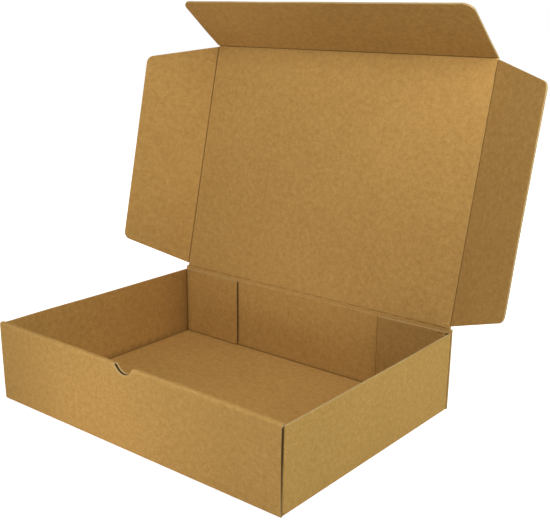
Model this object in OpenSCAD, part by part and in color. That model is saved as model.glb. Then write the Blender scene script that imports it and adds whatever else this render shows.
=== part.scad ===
// One-piece folding mailer: a die-cut corrugated sheet folded into a tray with a rolled front wall,
// and a hinged lid with two side flaps and a tuck flap.
// X runs along the front, Y towards the back, Z up. The origin is the middle of the underside.

/* [Board] */
// Thickness of the corrugated board
board = 1.5; // [1.2:0.1:2.2]
// Inside radius of a fold
fold_in = 0.5; // [0.3:0.1:1]
// Room between layers that lie on each other
layer_gap = 0.25; // [0.15:0.05:0.5]

/* [Tray] */
// Outside width along the front
box_w = 320; // [240:1:420]
// Outside depth from front to back
box_d = 240; // [180:1:320]
// Height of the rolled front wall
front_h = 73.5; // [50:0.5:110]
// Drop of the side walls below the front wall
side_drop = 2.1; // [2:0.1:6]
// Loose room in front of the corner tabs inside the rolled wall
roll_slack = 0.9; // [0.3:0.1:2]
// Length of a front corner tab from the side wall
front_tab = 62; // [30:1:70]
// Length of a rear corner tab from the side wall
rear_tab = 74.5; // [30:0.5:90]
// Height of the corner tabs above the bottom panel
tab_lift = 1; // [0.6:0.1:4]
// Radius of the corner tabs' free corners
tab_r = 4; // [2:0.5:8]

/* [Front lock] */
// Width of a lock tab
lock_w = 30; // [16:1:40]
// Distance of a lock tab from the middle of the front
lock_x = 80; // [40:1:95]
// Room round a lock tab in its slot
lock_room = 0.4; // [0.25:0.05:1]
// Height of a lock tab's end above the underside
lock_end = 0.2; // [0:0.1:0.6]

/* [Thumb notch] */
// Width of the notch at the wall's top
notch_w = 21; // [16:1:34]
// Depth of the notch
notch_d = 8; // [6:0.5:12]
// Radius of the notch's lips
notch_lip = 1.5; // [1:0.5:4]

/* [Lid] */
// Opening angle of the lid from closed
lid_angle = 103; // [10:0.5:180]
// Room between the closed lid and the front wall
lid_seat = 0.5; // [0.3:0.1:1]
// Room between a folded side flap and the side wall
flap_room = 0.3; // [0.2:0.05:1]
// Room between the folded tuck flap and the front wall
tuck_room = 0.4; // [0.3:0.1:1.5]
// Slit left along a crease
crease_gap = 0.16; // [0.1:0.02:0.3]
// Bevel angle of the crushed edges at a crease
crease_angle = 48.5; // [47.5:0.5:50]

/* [Side flaps] */
// Fold angle of the left side flap from flat
left_flap_angle = 45; // [0:1:90]
// Fold angle of the right side flap from flat
right_flap_angle = 31; // [0:1:90]
// Room under a folded side flap
flap_clear = 1.5; // [1:0.1:12]
// Distance of a side flap from the lid's hinge
flap_hinge_inset = 2.3; // [2.3:0.1:10]
// Distance of a side flap from the tuck crease
flap_tuck_inset = 1.8; // [1.6:0.1:10]
// Taper angle of a side flap at the hinge end
flap_hinge_angle = 14; // [14:0.5:25]
// Taper angle of a side flap at the tuck end
flap_tuck_angle = 17; // [8:0.5:25]
// Corner radius of a side flap
flap_r = 8; // [3:0.5:14]

/* [Tuck flap] */
// Fold angle of the tuck flap from flat
tuck_angle = 64.5; // [0:0.5:95]
// Room under the folded tuck flap
tuck_clear = 3.8; // [1:0.1:12]
// Inset of the tuck flap's ends from the side creases
tuck_inset = 0.3; // [0.2:0.1:4]
// Corner radius of the tuck flap
tuck_r = 9.5; // [3:0.5:14]

/* [Hidden] */
$fn = 64;
kraft = [0.71, 0.55, 0.32];
kraft_inside = [0.66, 0.5, 0.28];
cut_over = 5;
fold_out = fold_in + board;
side_h = front_h - side_drop;
hinge_z = front_h + lid_seat + board;
bevel_run = board * tan(crease_angle);
half_slit = crease_gap / 2;
front_tab_y = board + roll_slack;
rear_tab_y = board + layer_gap;
roll_t = front_tab_y + 2 * board + layer_gap;
wall_y0 = -box_d / 2 + front_tab_y + fold_out;
wall_y1 = box_d / 2 - rear_tab_y - fold_out;
tab_z = board + tab_lift;
inner_w = box_w - 2 * (board + layer_gap);
crease_x = box_w / 2 - board - flap_room;
lid_l = box_d - roll_t - tuck_room;
flap_l = hinge_z - board - flap_clear;
tuck_l = hinge_z - board - tuck_clear;
tuck_w = 2 * (crease_x - tuck_inset);
notch_r = (pow(notch_w / 2, 2) + pow(notch_d, 2)) / (2 * notch_d);
notch_rise = notch_r - notch_d;
lip_x = sqrt(pow(notch_r + notch_lip, 2) - pow(notch_rise + notch_lip, 2));

// Quarter of a folded edge, seen along the fold
module fold_2d() {
  intersection() {
    difference() {
      circle(r = fold_out);
      circle(r = fold_in);
    }
    square(fold_out);
  }
}

// Stands a profile up: its x runs to the back, its y runs up, and it is as wide as given along X
module across(w) {
  rotate([90, 0, 90])
    linear_extrude(height = w, center = true)
      children();
}

// Outer front panel and the strip over the top, seen from the right
module roll_outer_2d() {
  translate([fold_out, fold_out])
    rotate(180)
      fold_2d();
  translate([0, fold_out])
    square([board, front_h - 2 * fold_out]);
  translate([fold_out, front_h - fold_out])
    rotate(90)
      fold_2d();
  translate([fold_out, front_h - board])
    square([roll_t - 2 * fold_out, board]);
}

// Inner front panel that comes down behind the corner tabs
module roll_inner_2d() {
  translate([roll_t - fold_out, front_h - fold_out])
    fold_2d();
  translate([roll_t - board, board + layer_gap])
    square([board, front_h - fold_out - board - layer_gap]);
}

// Half-moon of the thumb notch with its rounded lips, seen from the front
module notch_2d() {
  translate([0, front_h + notch_rise])
    circle(r = notch_r);
  difference() {
    polygon([
      [-lip_x, front_h - notch_lip],
      [0, front_h + notch_rise],
      [lip_x, front_h - notch_lip],
      [lip_x, front_h + notch_r],
      [-lip_x, front_h + notch_r],
    ]);
    for (side = [-1, 1])
      translate([side * lip_x, front_h - notch_lip])
        circle(r = notch_lip);
  }
}

module front_wall() {
  difference() {
    translate([0, -box_d / 2, 0]) {
      across(box_w)
        roll_outer_2d();
      across(inner_w)
        roll_inner_2d();
    }
    translate([0, -box_d / 2 + roll_t + cut_over, 0])
      rotate([90, 0, 0])
        linear_extrude(height = roll_t + 2 * cut_over)
          notch_2d();
  }
  for (side = [-1, 1])
    translate([side * lock_x - lock_w / 2, -box_d / 2 + roll_t - board, lock_end])
      cube([lock_w, board, board + layer_gap - lock_end]);
}

module back_wall() {
  translate([0, box_d / 2, 0])
    mirror([0, 1, 0])
      across(box_w) {
        translate([fold_out, fold_out])
          rotate(180)
            fold_2d();
        polygon([
          [0, fold_out],
          [board, fold_out],
          [board, hinge_z - half_slit - bevel_run],
          [0, hinge_z - half_slit],
        ]);
      }
}

module bottom() {
  difference() {
    translate([-box_w / 2 + fold_out, -box_d / 2 + fold_out, 0])
      cube([box_w - 2 * fold_out, box_d - 2 * fold_out, board]);
    for (side = [-1, 1])
      translate([
        side * lock_x - lock_w / 2 - lock_room,
        -box_d / 2 + roll_t - board - lock_room,
        -cut_over,
      ])
        cube([lock_w + 2 * lock_room, board + 2 * lock_room, board + 2 * cut_over]);
  }
}

// Corner tab of the given length, standing on its edge along X from the side wall inwards
module corner_tab(reach) {
  rotate([90, 0, 0])
    linear_extrude(height = board)
      translate([box_w / 2 - reach, tab_z]) {
        translate([tab_r, 0])
          square([reach - fold_out - tab_r, side_h - tab_z]);
        translate([0, tab_r])
          square([tab_r, side_h - tab_z - 2 * tab_r]);
        for (z = [tab_r, side_h - tab_z - tab_r])
          translate([tab_r, z])
            circle(r = tab_r);
      }
}

// Right-hand side wall with the tab at each end
module side_wall() {
  translate([0, wall_y1, 0])
    rotate([90, 0, 0])
      linear_extrude(height = wall_y1 - wall_y0) {
        translate([box_w / 2 - fold_out, fold_out])
          rotate(-90)
            fold_2d();
        translate([box_w / 2 - board, fold_out])
          square([board, side_h - fold_out]);
      }
  translate([box_w / 2 - fold_out, wall_y0, tab_z])
    linear_extrude(height = side_h - tab_z)
      rotate(-90)
        fold_2d();
  translate([box_w / 2 - fold_out, wall_y1, tab_z])
    linear_extrude(height = side_h - tab_z)
      fold_2d();
  translate([0, -box_d / 2 + front_tab_y + board, 0])
    corner_tab(front_tab);
  translate([0, box_d / 2 - rear_tab_y, 0])
    corner_tab(rear_tab);
}

// Places what hangs on the lid: crease of the hinge at the origin, closed lid towards -Y, inside down
module on_lid() {
  translate([0, box_d / 2, hinge_z])
    rotate([-lid_angle, 0, 0])
      children();
}

// Flap with its crease on the Y axis, outer face up, tapered and rounded at the free corners
module flap(reach, y0, y1, taper0, taper1, r) {
  xc = reach - r;
  yc0 = y0 + xc * tan(taper0) + r / cos(taper0);
  yc1 = y1 - xc * tan(taper1) - r / cos(taper1);
  intersection() {
    translate([0, 0, -board])
      linear_extrude(height = board) {
        polygon([
          [0, y0],
          [xc + r * sin(taper0), yc0 - r * cos(taper0)],
          [reach, yc0],
          [reach, yc1],
          [xc + r * sin(taper1), yc1 + r * cos(taper1)],
          [0, y1],
        ]);
        for (yc = [yc0, yc1])
          translate([xc, yc])
            circle(r = r);
      }
    translate([0, y1 + cut_over, 0])
      rotate([90, 0, 0])
        linear_extrude(height = y1 - y0 + 2 * cut_over)
          polygon([
            [half_slit, 0],
            [half_slit + bevel_run, -board],
            [reach + cut_over, -board],
            [reach + cut_over, 0],
          ]);
  }
}

module side_flap(fold) {
  on_lid()
    translate([crease_x, 0, 0])
      rotate([0, fold, 0])
        flap(
          flap_l,
          -lid_l + flap_tuck_inset,
          -flap_hinge_inset,
          flap_tuck_angle,
          flap_hinge_angle,
          flap_r
        );
}

module tray() {
  color(kraft) {
    bottom();
    front_wall();
    back_wall();
    side_wall();
    mirror([1, 0, 0])
      side_wall();
  }
}

module lid() {
  color(kraft)
    on_lid()
      intersection() {
        across(box_w)
          polygon([
            [-half_slit, 0],
            [-half_slit - bevel_run, -board],
            [-lid_l + half_slit + bevel_run, -board],
            [-lid_l + half_slit, 0],
          ]);
        translate([0, cut_over, 0])
          rotate([90, 0, 0])
            linear_extrude(height = lid_l + 2 * cut_over)
              polygon([
                [-crease_x + half_slit, 0],
                [-crease_x + half_slit + bevel_run, -board],
                [crease_x - half_slit - bevel_run, -board],
                [crease_x - half_slit, 0],
              ]);
      }
}

module left_side_flap() {
  color(kraft)
    mirror([1, 0, 0])
      side_flap(left_flap_angle);
}

module right_side_flap() {
  color(kraft_inside)
    side_flap(right_flap_angle);
}

module tuck_flap() {
  color(kraft_inside)
    on_lid()
      translate([0, -lid_l, 0])
        rotate([tuck_angle, 0, 0])
          rotate([0, 0, -90])
            flap(tuck_l, -tuck_w / 2, tuck_w / 2, 0, 0, tuck_r);
}

tray();
lid();
left_side_flap();
right_side_flap();
tuck_flap();
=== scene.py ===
"""Looks of the one-piece folding mailer.

The die-cut sheet is laid out flat, meshed with its cut edges, and folded as the CAD solids are.
"""

import math

import bpy
import numpy as np
from mathutils import Matrix, Vector
from mathutils.geometry import delaunay_2d_cdt


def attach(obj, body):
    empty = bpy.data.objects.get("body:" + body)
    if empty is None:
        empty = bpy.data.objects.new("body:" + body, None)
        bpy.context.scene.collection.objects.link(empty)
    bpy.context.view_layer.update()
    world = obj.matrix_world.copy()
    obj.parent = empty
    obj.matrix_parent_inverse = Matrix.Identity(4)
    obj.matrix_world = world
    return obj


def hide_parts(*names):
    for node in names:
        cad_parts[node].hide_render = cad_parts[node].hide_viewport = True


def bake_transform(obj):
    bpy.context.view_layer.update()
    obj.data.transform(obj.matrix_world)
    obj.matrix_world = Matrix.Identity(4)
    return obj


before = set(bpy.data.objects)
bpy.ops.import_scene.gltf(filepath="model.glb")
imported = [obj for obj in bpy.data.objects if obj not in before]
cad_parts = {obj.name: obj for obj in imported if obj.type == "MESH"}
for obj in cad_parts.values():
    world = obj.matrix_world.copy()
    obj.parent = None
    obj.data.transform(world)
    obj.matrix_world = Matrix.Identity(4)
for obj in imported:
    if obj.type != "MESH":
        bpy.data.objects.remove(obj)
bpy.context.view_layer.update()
scene = bpy.context.scene

# Shapes are worked out in millimetres, the scene is in metres
MM = 0.001

# Values of part.scad, in millimetres and degrees
BOARD = 1.5
FOLD_IN = 0.5
LAYER_GAP = 0.25
BOX_W = 320.0
BOX_D = 240.0
FRONT_H = 73.5
SIDE_DROP = 2.1
ROLL_SLACK = 0.9
FRONT_TAB = 62.0
REAR_TAB = 74.5
TAB_LIFT = 1.0
TAB_R = 4.0
LOCK_W = 30.0
LOCK_X = 80.0
LOCK_ROOM = 0.4
LOCK_END = 0.2
NOTCH_W = 21.0
NOTCH_D = 8.0
NOTCH_LIP = 1.5
LID_ANGLE = 103.0
LID_SEAT = 0.5
FLAP_ROOM = 0.3
TUCK_ROOM = 0.4
CREASE_GAP = 0.16
CREASE_ANGLE = 48.5
LEFT_ANGLE = 45.0
RIGHT_ANGLE = 31.0
FLAP_CLEAR = 1.5
FLAP_HINGE_INSET = 2.3
FLAP_TUCK_INSET = 1.8
FLAP_HINGE_TAPER = 14.0
FLAP_TUCK_TAPER = 17.0
FLAP_R = 8.0
TUCK_ANGLE = 64.5
TUCK_CLEAR = 3.8
TUCK_INSET = 0.3
TUCK_R = 9.5

FOLD_OUT = FOLD_IN + BOARD
SIDE_H = FRONT_H - SIDE_DROP
HINGE_Z = FRONT_H + LID_SEAT + BOARD
BEVEL = BOARD * math.tan(math.radians(CREASE_ANGLE))
SLIT = CREASE_GAP / 2
FRONT_TAB_Y = BOARD + ROLL_SLACK
REAR_TAB_Y = BOARD + LAYER_GAP
ROLL_T = FRONT_TAB_Y + 2 * BOARD + LAYER_GAP
WALL_Y0 = -BOX_D / 2 + FRONT_TAB_Y + FOLD_OUT
WALL_Y1 = BOX_D / 2 - REAR_TAB_Y - FOLD_OUT
INNER_X = BOX_W / 2 - BOARD - LAYER_GAP
CREASE_X = BOX_W / 2 - BOARD - FLAP_ROOM
LID_L = BOX_D - ROLL_T - TUCK_ROOM
FLAP_L = HINGE_Z - BOARD - FLAP_CLEAR
TUCK_L = HINGE_Z - BOARD - TUCK_CLEAR
TUCK_X = CREASE_X - TUCK_INSET
NOTCH_R = ((NOTCH_W / 2) ** 2 + NOTCH_D**2) / (2 * NOTCH_D)
NOTCH_Z = FRONT_H + NOTCH_R - NOTCH_D
LIP_X = math.sqrt((NOTCH_R + NOTCH_LIP) ** 2 - (NOTCH_R - NOTCH_D + NOTCH_LIP) ** 2)

# The flat sheet: a runs along the front, b from the front to the back, n from the outer to the inner face
BEND = (FOLD_IN + BOARD / 2) * math.pi / 2
FLOOR_X = BOX_W / 2 - FOLD_OUT
FLOOR_Y = BOX_D / 2 - FOLD_OUT
ROLL_1 = BEND + FRONT_H - 2 * FOLD_OUT
STRIP = ROLL_1 + BEND
ROLL_2 = STRIP + ROLL_T - 2 * FOLD_OUT
INNER = ROLL_2 + BEND
INNER_END = INNER + FRONT_H - FOLD_OUT - BOARD - LAYER_GAP
LOCK_TIP = INNER_END + BOARD + LAYER_GAP - LOCK_END
WALL_TOP = FLOOR_X + BEND + SIDE_H - FOLD_OUT
TAB_A = FLOOR_X + BEND + BOARD + TAB_LIFT - FOLD_OUT
FRONT_TAB_B = WALL_Y0 - BEND - (FRONT_TAB - FOLD_OUT)
REAR_TAB_B = WALL_Y1 + BEND + (REAR_TAB - FOLD_OUT)
BACK_B = FLOOR_Y + BEND + HINGE_Z - FOLD_OUT
# Front wall, bottom and back wall are one chain of panels, no farther than this from the middle line
CHAIN_ROOM = 0.2
CHAIN_X = BOX_W / 2 + CHAIN_ROOM
# The foot of each side wall runs on below its corner tabs
STUB_DROP = 0.15
STUB_ROOM = 0.1
STUB_A = TAB_A - STUB_DROP
STUB_Y0 = -FLOOR_Y + STUB_ROOM
STUB_Y1 = FLOOR_Y - STUB_ROOM

# Corner radii that only the looks have
LOCK_ROOT_R = 0.5
LOCK_TIP_R = 0.6
INNER_R = 1.5
ROLL_STEP_R = 0.4
ROLL_R = 0.6
REAR_TAB_R = 1.2

# Cut edges show a wavy paper between two liners
FLUTE_PITCH = 3.3
FLUTE_RISE = 0.41
FLUTE_PAPER = 0.13
FLUTE_DEPTH = 0.45
LINER = 0.17
LINER_EDGE = 0.07
# Heights in the board's thickness at which a cut edge has a ring of points
LEVELS = np.array(
    [0, LINER, LINER + LINER_EDGE]
    + [BOARD / 2 + k * FLUTE_PAPER for k in range(-3, 4)]
    + [BOARD - LINER - LINER_EDGE, BOARD - LINER, BOARD]
)
# How raw the bevelled edge at a crease looks, where a cut edge is 1
CREASE_RAW = 0.35

# The mesh of the sheet: a triangular grid, whose points keep clear of the rows along folds and edges
SPACING = 7.0
FINE_SPACING = 1.2
TRIANGLE_ROW = 0.866
POINT_ROOM = 0.6
# Steps along a cut edge, which are short where it crosses the flutes by more than FLUTE_CROSS
CUT_STEP = 4.0
FLUTE_STEP = 0.5
FLUTE_CROSS = 0.2
CREASE_CLEAR = 2.8
# Steps round corners and folds, and the rows that keep a fold's or an edge's looks off the panel
CORNER_STEPS = 7
FLAP_CORNER_STEPS = 14
NOTCH_STEPS = 22
FOLD_STEPS = 7
FOLD_GUARD = 1.4
RIM_GUARD = 0.9
LID_GUARD = 2.6
CREASE_GUARD = 2.8
EDGE_GUARD = 1.5
# How far those rows end short of a corner
TAB_ROW_INSET = 1.3
HINGE_ROW_INSET = 0.6
WALL_ROW_INSET = 2
REAR_ROW_INSET = 3
CREASE_ROW_INSET = 4
TUCK_ROW_INSET = 12
FLAP_ROW_INSET = 40
# Limits at sharp corners of a rim, and tolerances
MITRE_LIMIT = 0.35
SLOPE_LIMIT = 0.2
TOUCH = 0.01
MERGE = 1e-4
SAME = 1e-6
LEVEL_EDGE = 1e-12
SHARP_ANGLE = 38

# Small irregular shapes: how far each goes, and over what distance it fades out
HILL_WAVES = 7
RISE_FROM = 20
FLOOR_FADE = 30
FLOOR_BULGE = 0.5
FOOT_FADE = 25
TOP_FADE = 20
FACE_DISH = 0.22
ROLL_FADE = 6
ROLL_DENT = 0.45
DENT_HALF = 30
DENT_FADE = 30
WALL_FADE = 70
WALL_BOW = 0.55
CRUMPLE = 0.25
CRUMPLE_SIZE = 3.4
TAB_LEAN_FROM = 45
LEFT_TAB_LEAN = 0.9
RIGHT_TAB_LEAN = 1.4
LID_FADE = 40
FLAP_FADE = 40
LEFT_FLAP_BOW = 0.45
TUCK_FADE = 30
TUCK_BOW = 0.3

# Wear: the pale line along the hinge, and the widths of rubbed creases and edges
HINGE_RUB = 3.2
HINGE_RUB_HALF = 0.8
FOOT_RUB = 1.2
CREASE_RUB = 1.9
EDGE_RUB = 1.2


def ramp(t, start, end):
    """0 at start, 1 at end, smooth between them and level beyond them."""
    share = np.clip((t - start) / (end - start), 0, 1)
    return share * share * (3 - 2 * share)


def hump(t, start, end, rise, fall):
    """0 up to start and from end on, 1 between, smooth over rise after start and over fall before end."""
    return ramp(t, start, start + rise) * ramp(t, end, end - fall)


def hills(u, v, size, seed):
    """Smooth random surface between about -1 and 1 whose hills are about size across."""
    rng = np.random.RandomState(seed)
    total = 0
    for _ in range(HILL_WAVES):
        heading = rng.uniform(0, 2 * math.pi)
        phase = rng.uniform(0, 2 * math.pi)
        pace = rng.uniform(0.6, 1.5)
        along = u * math.cos(heading) + v * math.sin(heading)
        total = total + np.sin(along * 2 * math.pi * pace / size + phase)
    return total * 2 / HILL_WAVES


def line(t, width):
    """1 where t is 0, falling off on both sides over about width."""
    return np.exp(-((t / width) ** 2))


def spot(u, v, u0, v0, ru, rv):
    """1 at (u0, v0), falling off around it over about ru and rv."""
    return np.exp(-(((u - u0) / ru) ** 2) - ((v - v0) / rv) ** 2)


# Folding the sheet


def turn(s, n):
    """Where a point lies that is s past the start of a quarter fold and n above the outer face.

    The result is how far along the panel before the fold it lies, and how far up from that panel.
    """
    f = np.clip(s / BEND, 0, 1) * math.pi / 2
    r = FOLD_OUT - n
    along = np.where(s < 0, s, r * np.sin(f))
    up = np.where(s < 0, n, FOLD_OUT - r * np.cos(f) + np.maximum(s - BEND, 0))
    return along, up


def fold_front(a, b, n):
    """Depth and height of the front wall: outer panel, strip over the top, inner panel."""
    s = -FLOOR_Y - b
    along, up = turn(s, n)
    y, z = -FLOOR_Y - along, up
    along, up = turn(s - ROLL_1, n)
    y = np.where(s > ROLL_1, -BOX_D / 2 + up, y)
    z = np.where(s > ROLL_1, FRONT_H - FOLD_OUT + along, z)
    along, up = turn(s - ROLL_2, n)
    y = np.where(s > ROLL_2, -BOX_D / 2 + ROLL_T - FOLD_OUT + along, y)
    z = np.where(s > ROLL_2, FRONT_H - up, z)
    return y, z + front_rise(a) * ramp(z, RISE_FROM, FRONT_H)


def fold_side(a, b, n):
    """Place of the side walls and their corner tabs."""
    side = np.sign(a)
    out = np.abs(a)
    along, up = turn(out - FLOOR_X, n)
    x, y = FLOOR_X + along, b
    z = up + side_rise(side, b) * ramp(up, RISE_FROM, SIDE_H)
    for end, sense in ((WALL_Y0, -1), (WALL_Y1, 1)):
        past = np.where(out > STUB_A + TOUCH, (b - end) * sense, -1)
        along, up = turn(past, n)
        x = np.where(past > 0, BOX_W / 2 - up, x)
        y = np.where(past > 0, end + sense * along, y)
    return side * x, y, z


def fold_tray(a, b, n):
    n = n + tray_warp(a, b)
    chain = np.abs(a) <= CHAIN_X
    front = chain & (b < -FLOOR_Y)
    back = chain & (b > FLOOR_Y)
    wall = ~front & ~back & (np.abs(a) > FLOOR_X)
    front_y, front_z = fold_front(a, b, n)
    along, up = turn(b - FLOOR_Y, n)
    wall_x, wall_y, wall_z = fold_side(a, b, n)
    x = np.where(wall, wall_x, a)
    y = np.select([front, back, wall], [front_y, FLOOR_Y + along, wall_y], b)
    z = np.select([front, back, wall], [front_z, up, wall_z], n)
    return np.stack([x, y, z], 1)


def front_rise(a):
    """How far above level the rolled top of the front wall runs, which isn't quite straight."""
    return -0.9 * ramp(a, 60, 160) + 0.16 * hills(a, 0 * a, 26, 5) + 0.1 * hills(a, 0 * a, 9, 6)


def side_rise(side, b):
    """How far above level the side walls' top edges run."""
    right = -1.2 * ramp(b, 30, -120) + 0.8 * ramp(b, 10, 100)
    left = 1.1 * ramp(b, 40, -100)
    return np.where(side > 0, right, left)


def tray_warp(a, b):
    """How far the tray's board lies inwards of flat, in millimetres."""
    out = np.abs(a)
    s = -FLOOR_Y - b
    inside = ramp(out, FLOOR_X, FLOOR_X - FLOOR_FADE) * ramp(np.abs(b), FLOOR_Y, FLOOR_Y - FLOOR_FADE)
    floor = inside * (FLOOR_BULGE + 0.4 * hills(a, b, 120, 1))
    face = (0.14 * hills(a, b, 70, 2) - FACE_DISH) * hump(s, 0, ROLL_1, FOOT_FADE, TOP_FADE)
    roll = 0.09 * hills(a, b, 14, 3) * hump(s, ROLL_1 - ROLL_FADE, INNER + ROLL_FADE, ROLL_FADE, ROLL_FADE)
    near_roll = hump(s, ROLL_1 - DENT_FADE, INNER + DENT_FADE, DENT_FADE, DENT_FADE)
    dent = ROLL_DENT * line(a, DENT_HALF) * near_roll
    inner = 0.1 * hills(a, b, 60, 4) * hump(s, INNER, INNER_END, FOOT_FADE, TOP_FADE)
    back = 0.12 * hills(a, b, 70, 7) * hump(b, FLOOR_Y, BACK_B, FOOT_FADE, TOP_FADE)
    chain = np.select([b < -FLOOR_Y, b > FLOOR_Y], [face + roll + dent + inner, back], floor)
    return np.where(out <= CHAIN_X, chain, side_warp(a, b))


def side_warp(a, b):
    """The same for the side walls, which bow outwards, and for their corner tabs."""
    middle = hump(b, WALL_Y0, WALL_Y1, WALL_FADE, WALL_FADE)
    bow = -middle * ramp(np.abs(a), FLOOR_X, WALL_TOP) * (WALL_BOW + 0.2 * hills(a, b, 90, 8))
    torn = spot(a, b, WALL_TOP, WALL_Y1 + 2, 7, 9) + spot(a, b, WALL_TOP - 3, WALL_Y1 + 12, 6, 9)
    torn = (a > 0) * torn * ramp(b, WALL_Y1 - 6, WALL_Y1 - 1)
    lean = np.where(a > 0, RIGHT_TAB_LEAN, LEFT_TAB_LEAN) * ramp(b, REAR_TAB_B - TAB_LEAN_FROM, REAR_TAB_B)
    return bow + CRUMPLE * torn * hills(a, b, CRUMPLE_SIZE, 9) + lean


def on_lid(x, p, n):
    """Points of the open lid, p along it from the hinge and n from its outer face inwards."""
    t = math.radians(LID_ANGLE)
    y = BOX_D / 2 - p * math.cos(t) - n * math.sin(t)
    z = HINGE_Z + p * math.sin(t) - n * math.cos(t)
    return np.stack([x, y, z], 1)


def bent(s, n, angle):
    """How far along and above the lid a point lies that is s past a crease folded by angle."""
    t = math.radians(angle)
    return s * math.cos(t) - n * math.sin(t), s * math.sin(t) + n * math.cos(t)


def fold_lid(a, b, n):
    fade = ramp(np.abs(a), CREASE_X, CREASE_X - LID_FADE) * hump(b, 0, LID_L, LID_FADE, LID_FADE)
    return on_lid(a, b, n + fade * (0.5 * hills(a, b, 170, 12) + 0.16 * hills(a, b, 60, 13)))


def fold_flap(side, angle):
    bow = LEFT_FLAP_BOW if side < 0 else 0.0

    def fold(a, b, n):
        s = a * side
        n = n + ramp(s, 0, FLAP_FADE) * (bow + 0.2 * hills(a, b, 110, 15 + side))
        along, above = bent(s, n, angle)
        return on_lid(side * (CREASE_X + along), b, above)

    return fold


def fold_tuck(a, b, n):
    n = n + ramp(b, 0, TUCK_FADE) * (TUCK_BOW + 0.25 * hills(a, b, 120, 18))
    along, above = bent(b, n, TUCK_ANGLE)
    return on_lid(a, LID_L + along, above)


# Cutting the sheet


def outline(corners, steps=CORNER_STEPS):
    """Closed outline through corners (x, y, radius), with so many steps round each radius."""
    made = []
    for i, (x, y, r) in enumerate(corners):
        p = np.array((x, y), float)
        if r <= 0:
            made.append(p)
            continue
        u = np.array(corners[i - 1][:2], float) - p
        v = np.array(corners[(i + 1) % len(corners)][:2], float) - p
        u, v = u / np.linalg.norm(u), v / np.linalg.norm(v)
        half = math.acos(np.clip(u @ v, -1, 1)) / 2
        centre = p + (u + v) / np.linalg.norm(u + v) * r / math.sin(half)
        first = p + u * r / math.tan(half) - centre
        last = p + v * r / math.tan(half) - centre
        start = math.atan2(first[1], first[0])
        sweep = (math.atan2(last[1], last[0]) - start + math.pi) % (2 * math.pi) - math.pi
        for k in range(steps + 1):
            t = start + sweep * k / steps
            made.append(centre + r * np.array((math.cos(t), math.sin(t))))
    return np.array(made)


def mirrored(corners):
    return [(-x, y, r) for x, y, r in reversed(corners)]


def sampled(loop, crease):
    """The loop with points close enough to show the flutes where a cut crosses them."""
    made = []
    for p, q in zip(loop, np.roll(loop, -1, 0)):
        length = np.linalg.norm(q - p)
        folded = crease(*((p + q) / 2))
        crosses = abs(q[0] - p[0]) > FLUTE_CROSS * length and not folded
        count = max(1, round(length / (FLUTE_STEP if crosses else CUT_STEP)))
        ends = [e for e in (p, q) if not folded and crease(*e)]
        for k in range(count):
            point = p + (q - p) * k / count
            apart = [np.linalg.norm(point - e) for e in ends]
            if k == 0 or all(d > CREASE_CLEAR for d in apart if d > SAME):
                made.append(point)
    return np.array(made)


def within(points, loops):
    """Whether each point lies inside the outline and outside its holes."""
    odd = np.zeros(len(points), bool)
    x, y = points[:, :1], points[:, 1:]
    for loop in loops:
        p, q = loop, np.roll(loop, -1, 0)
        rise = np.where(q[:, 1] == p[:, 1], LEVEL_EDGE, q[:, 1] - p[:, 1])
        spans = (p[:, 1] > y) != (q[:, 1] > y)
        left = x < (q[:, 0] - p[:, 0]) * (y - p[:, 1]) / rise + p[:, 0]
        odd ^= ((spans & left).sum(1) % 2).astype(bool)
    return odd


def row(p, q):
    """Points from p to q, about the mesh's spacing apart."""
    p, q = np.array(p, float), np.array(q, float)
    count = max(1, round(np.linalg.norm(q - p) / SPACING))
    return p + (q - p) * np.linspace(0, 1, count + 1)[:, None]


def lattice(box, spacing, loops, fixed):
    """Points of a triangular grid in the box that lie on the sheet and clear of the fixed points."""
    x0, y0, x1, y1 = box
    rows = []
    for k, y in enumerate(np.arange(y0 + spacing / 2, y1, spacing * TRIANGLE_ROW)):
        xs = np.arange(x0 + (k % 2 + 0.5) * spacing / 2, x1, spacing)
        rows.append(np.stack([xs, np.full(len(xs), y)], 1))
    grid = np.vstack(rows)
    near = np.array([np.min(((fixed - g) ** 2).sum(1)) for g in grid])
    return grid[within(grid, loops) & (near > (POINT_ROOM * spacing) ** 2)]


def triangulated(loops, close_loops, rows, fine):
    """Points and triangles of the flat sheet, with the rows of the folds kept as edges.

    close_loops are the loops with their close points, and fine lists the boxes with a fine mesh.
    """
    chains = [np.vstack([loop, loop[:1]]) for loop in close_loops] + list(rows)
    fixed = np.vstack(chains)
    coarse = lattice((*fixed.min(0), *fixed.max(0)), SPACING, loops, fixed)
    for x0, y0, x1, y1 in fine:
        low = (coarse > np.array((x0, y0)) - SPACING / 2).all(1)
        high = (coarse < np.array((x1, y1)) + SPACING / 2).all(1)
        coarse = coarse[~(low & high)]
    grids = [coarse] + [lattice(box, FINE_SPACING, loops, fixed) for box in fine]
    edges, at = [], 0
    for chain in chains:
        edges += [(at + k, at + k + 1) for k in range(len(chain) - 1)]
        at += len(chain)
    given = [Vector(p) for p in np.vstack(chains + grids)]
    points, lines, faces, _, sources, _ = delaunay_2d_cdt(given, edges, [], 0, MERGE)
    points = np.array([tuple(p) for p in points])
    faces = np.array([tuple(f) for f in faces])
    border = sum(len(loop) for loop in close_loops)
    walls = {tuple(sorted(e)) for e, kept in zip(lines, sources) if any(k < border for k in kept)}
    faces = faces[inside_walls(faces, walls)]
    u = points[faces[:, 1]] - points[faces[:, 0]]
    v = points[faces[:, 2]] - points[faces[:, 0]]
    clockwise = u[:, 0] * v[:, 1] - u[:, 1] * v[:, 0] < 0
    faces = np.where(clockwise[:, None], faces[:, ::-1], faces)
    used = np.unique(faces)
    renumbered = np.full(len(points), -1)
    renumbered[used] = np.arange(len(used))
    return points[used], renumbered[faces]


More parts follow.
